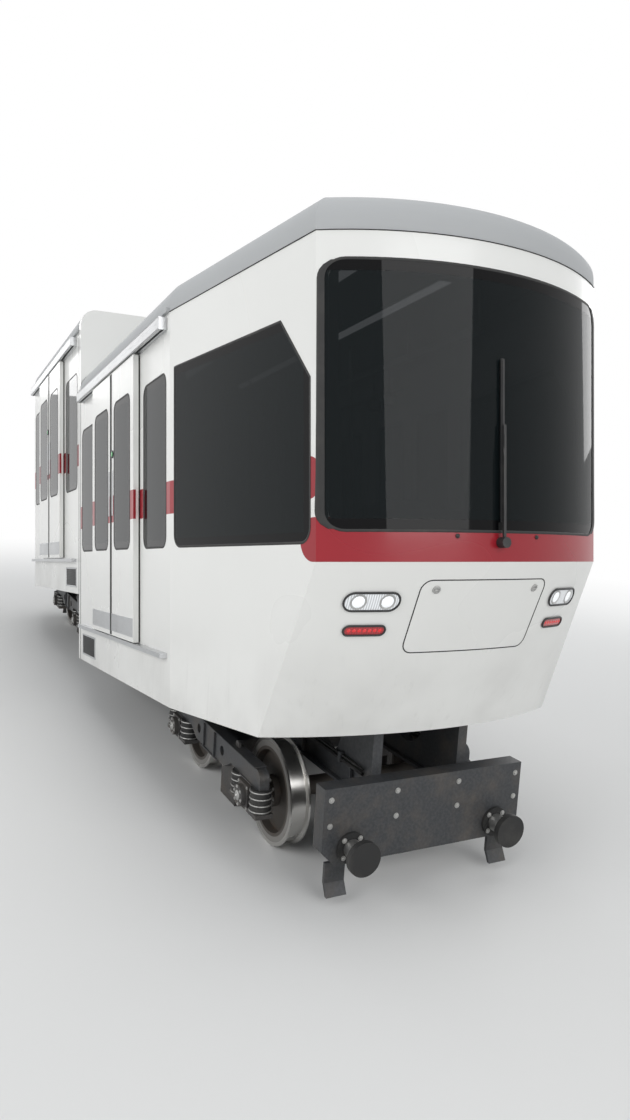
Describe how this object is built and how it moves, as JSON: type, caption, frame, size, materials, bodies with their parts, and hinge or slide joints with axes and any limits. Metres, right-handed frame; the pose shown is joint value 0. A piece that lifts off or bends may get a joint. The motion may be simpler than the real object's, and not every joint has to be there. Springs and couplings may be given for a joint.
{
  "type": "funicular car",
  "caption": "Funicular car with stepped level compartments, sliding doors, bogies with grooved and drum wheels, and a rope anchor.",
  "frame": {"origin": "middle of the car's outline in plan, at the height of the wheel flanges' lowest points", "axes": "+X uphill along the track, +Y to the car's left facing uphill, +Z normal to the rails; floors and walls lean 7.6 degrees to this frame, because the car is level on a sloping track"},
  "size_m": [9.3251, 2.316, 3.5576],
  "materials": {
    "body_paint": "white gloss enamel",
    "roof_paint": "light grey satin enamel",
    "grey_paint": "grey satin enamel",
    "door_paint": "white gloss enamel",
    "chassis_paint": "dark grey chassis enamel",
    "tinted_glass": "dark tinted, glossy",
    "lamp_glass": "clear lens",
    "red_lens": "red lens",
    "aluminium": "anodised",
    "steel": "brushed",
    "wheel_steel": "turned tread, oiled web",
    "cast_iron": "painted casting",
    "rubber": "matte black",
    "floor_covering": "ribbed dark grey",
    "black_plastic": "matte black",
    "seat_shell": "moulded, dark red",
    "desk_plastic": "textured dark grey"
  },
  "bodies": {
    "car": {"buffers": "rubber", "control_desks": "desk_plastic", "door_runners": "aluminium", "end_cap_downhill": "body_paint", "end_cap_uphill": "body_paint", "equipment_cases": "grey_paint", "floor": "floor_covering", "girders": "chassis_paint", "grab_poles": "steel", "handrails": "steel", "headlamps": "lamp_glass", "headstocks": "chassis_paint", "outriggers": "chassis_paint", "pivot_beams": "chassis_paint", "portal": "body_paint", "rail_guards": "chassis_paint", "roof_downhill": "roof_paint", "roof_units": "grey_paint", "roof_uphill": "roof_paint", "rope_anchor": "steel", "seats": "seat_shell", "side_glass_left": "tinted_glass", "side_glass_right": "tinted_glass", "side_wall_left_downhill": "body_paint", "side_wall_left_uphill": "body_paint", "side_wall_right_downhill": "body_paint", "side_wall_right_uphill": "body_paint", "tail_lamps": "red_lens", "windscreen_downhill": "tinted_glass", "windscreen_uphill": "tinted_glass", "wipers": "black_plastic"},
    "bogie_downhill": {"axle_boxes_downhill": "cast_iron", "bogie_frame_downhill": "chassis_paint", "rail_brakes_downhill": "cast_iron", "springs_downhill": "rubber"},
    "bogie_uphill": {"axle_boxes_uphill": "cast_iron", "bogie_frame_uphill": "chassis_paint", "rail_brakes_uphill": "cast_iron", "springs_uphill": "rubber"},
    "leaf_left_downhill_inner": {"door_glass_left_downhill_inner": "tinted_glass", "door_left_downhill_inner": "door_paint"},
    "leaf_left_downhill_outer": {"door_glass_left_downhill_outer": "tinted_glass", "door_left_downhill_outer": "door_paint"},
    "leaf_left_uphill_inner": {"door_glass_left_uphill_inner": "tinted_glass", "door_left_uphill_inner": "door_paint"},
    "leaf_left_uphill_outer": {"door_glass_left_uphill_outer": "tinted_glass", "door_left_uphill_outer": "door_paint"},
    "leaf_right_downhill_inner": {"door_glass_right_downhill_inner": "tinted_glass", "door_right_downhill_inner": "door_paint"},
    "leaf_right_downhill_outer": {"door_glass_right_downhill_outer": "tinted_glass", "door_right_downhill_outer": "door_paint"},
    "leaf_right_uphill_inner": {"door_glass_right_uphill_inner": "tinted_glass", "door_right_uphill_inner": "door_paint"},
    "leaf_right_uphill_outer": {"door_glass_right_uphill_outer": "tinted_glass", "door_right_uphill_outer": "door_paint"},
    "wheelset_downhill_1": {"wheelset_downhill_1": "wheel_steel"},
    "wheelset_downhill_2": {"wheelset_downhill_2": "wheel_steel"},
    "wheelset_uphill_1": {"wheelset_uphill_1": "wheel_steel"},
    "wheelset_uphill_2": {"wheelset_uphill_2": "wheel_steel"}
  },
  "joints": [
    {"name": "bogie_yaw_uphill", "type": "hinge", "parent": "car", "child": "bogie_uphill", "pos_m": [2.43028, 0, 0.5], "axis": [0, 0, 1], "range_deg": [-4, 4]},
    {"name": "wheels_uphill_1", "type": "hinge", "parent": "bogie_uphill", "child": "wheelset_uphill_1", "pos_m": [1.78028, 0, 0.32], "axis": [0, 1, 0], "continuous": true},
    {"name": "wheels_uphill_2", "type": "hinge", "parent": "bogie_uphill", "child": "wheelset_uphill_2", "pos_m": [3.08028, 0, 0.32], "axis": [0, 1, 0], "continuous": true},
    {"name": "door_slide_left_uphill_outer", "type": "slide", "parent": "car", "child": "leaf_left_uphill_outer", "axis": [0.9912, 0, -0.1323], "range_m": [0, 0.62]},
    {"name": "door_slide_left_uphill_inner", "type": "slide", "parent": "car", "child": "leaf_left_uphill_inner", "axis": [-0.9912, 0, 0.1323], "range_m": [0, 0.62]},
    {"name": "door_slide_right_uphill_outer", "type": "slide", "parent": "car", "child": "leaf_right_uphill_outer", "axis": [0.9912, 0, -0.1323], "range_m": [0, 0.62]},
    {"name": "door_slide_right_uphill_inner", "type": "slide", "parent": "car", "child": "leaf_right_uphill_inner", "axis": [-0.9912, 0, 0.1323], "range_m": [0, 0.62]},
    {"name": "bogie_yaw_downhill", "type": "hinge", "parent": "car", "child": "bogie_downhill", "pos_m": [-2.76972, 0, 0.5], "axis": [0, 0, 1], "range_deg": [-4, 4]},
    {"name": "wheels_downhill_1", "type": "hinge", "parent": "bogie_downhill", "child": "wheelset_downhill_1", "pos_m": [-3.41972, 0, 0.32], "axis": [0, 1, 0], "continuous": true},
    {"name": "wheels_downhill_2", "type": "hinge", "parent": "bogie_downhill", "child": "wheelset_downhill_2", "pos_m": [-2.11972, 0, 0.32], "axis": [0, 1, 0], "continuous": true},
    {"name": "door_slide_left_downhill_outer", "type": "slide", "parent": "car", "child": "leaf_left_downhill_outer", "axis": [-0.9912, 0, 0.1323], "range_m": [0, 0.62]},
    {"name": "door_slide_left_downhill_inner", "type": "slide", "parent": "car", "child": "leaf_left_downhill_inner", "axis": [0.9912, 0, -0.1323], "range_m": [0, 0.62]},
    {"name": "door_slide_right_downhill_outer", "type": "slide", "parent": "car", "child": "leaf_right_downhill_outer", "axis": [-0.9912, 0, 0.1323], "range_m": [0, 0.62]},
    {"name": "door_slide_right_downhill_inner", "type": "slide", "parent": "car", "child": "leaf_right_downhill_inner", "axis": [0.9912, 0, -0.1323], "range_m": [0, 0.62]}
  ],
  "couplings": [
    {"joint": "door_slide_left_uphill_inner", "follows": "door_slide_left_uphill_outer", "ratio": 1},
    {"joint": "door_slide_right_uphill_inner", "follows": "door_slide_right_uphill_outer", "ratio": 1},
    {"joint": "door_slide_left_downhill_inner", "follows": "door_slide_left_downhill_outer", "ratio": 1},
    {"joint": "door_slide_right_downhill_inner", "follows": "door_slide_right_downhill_outer", "ratio": 1}
  ]
}
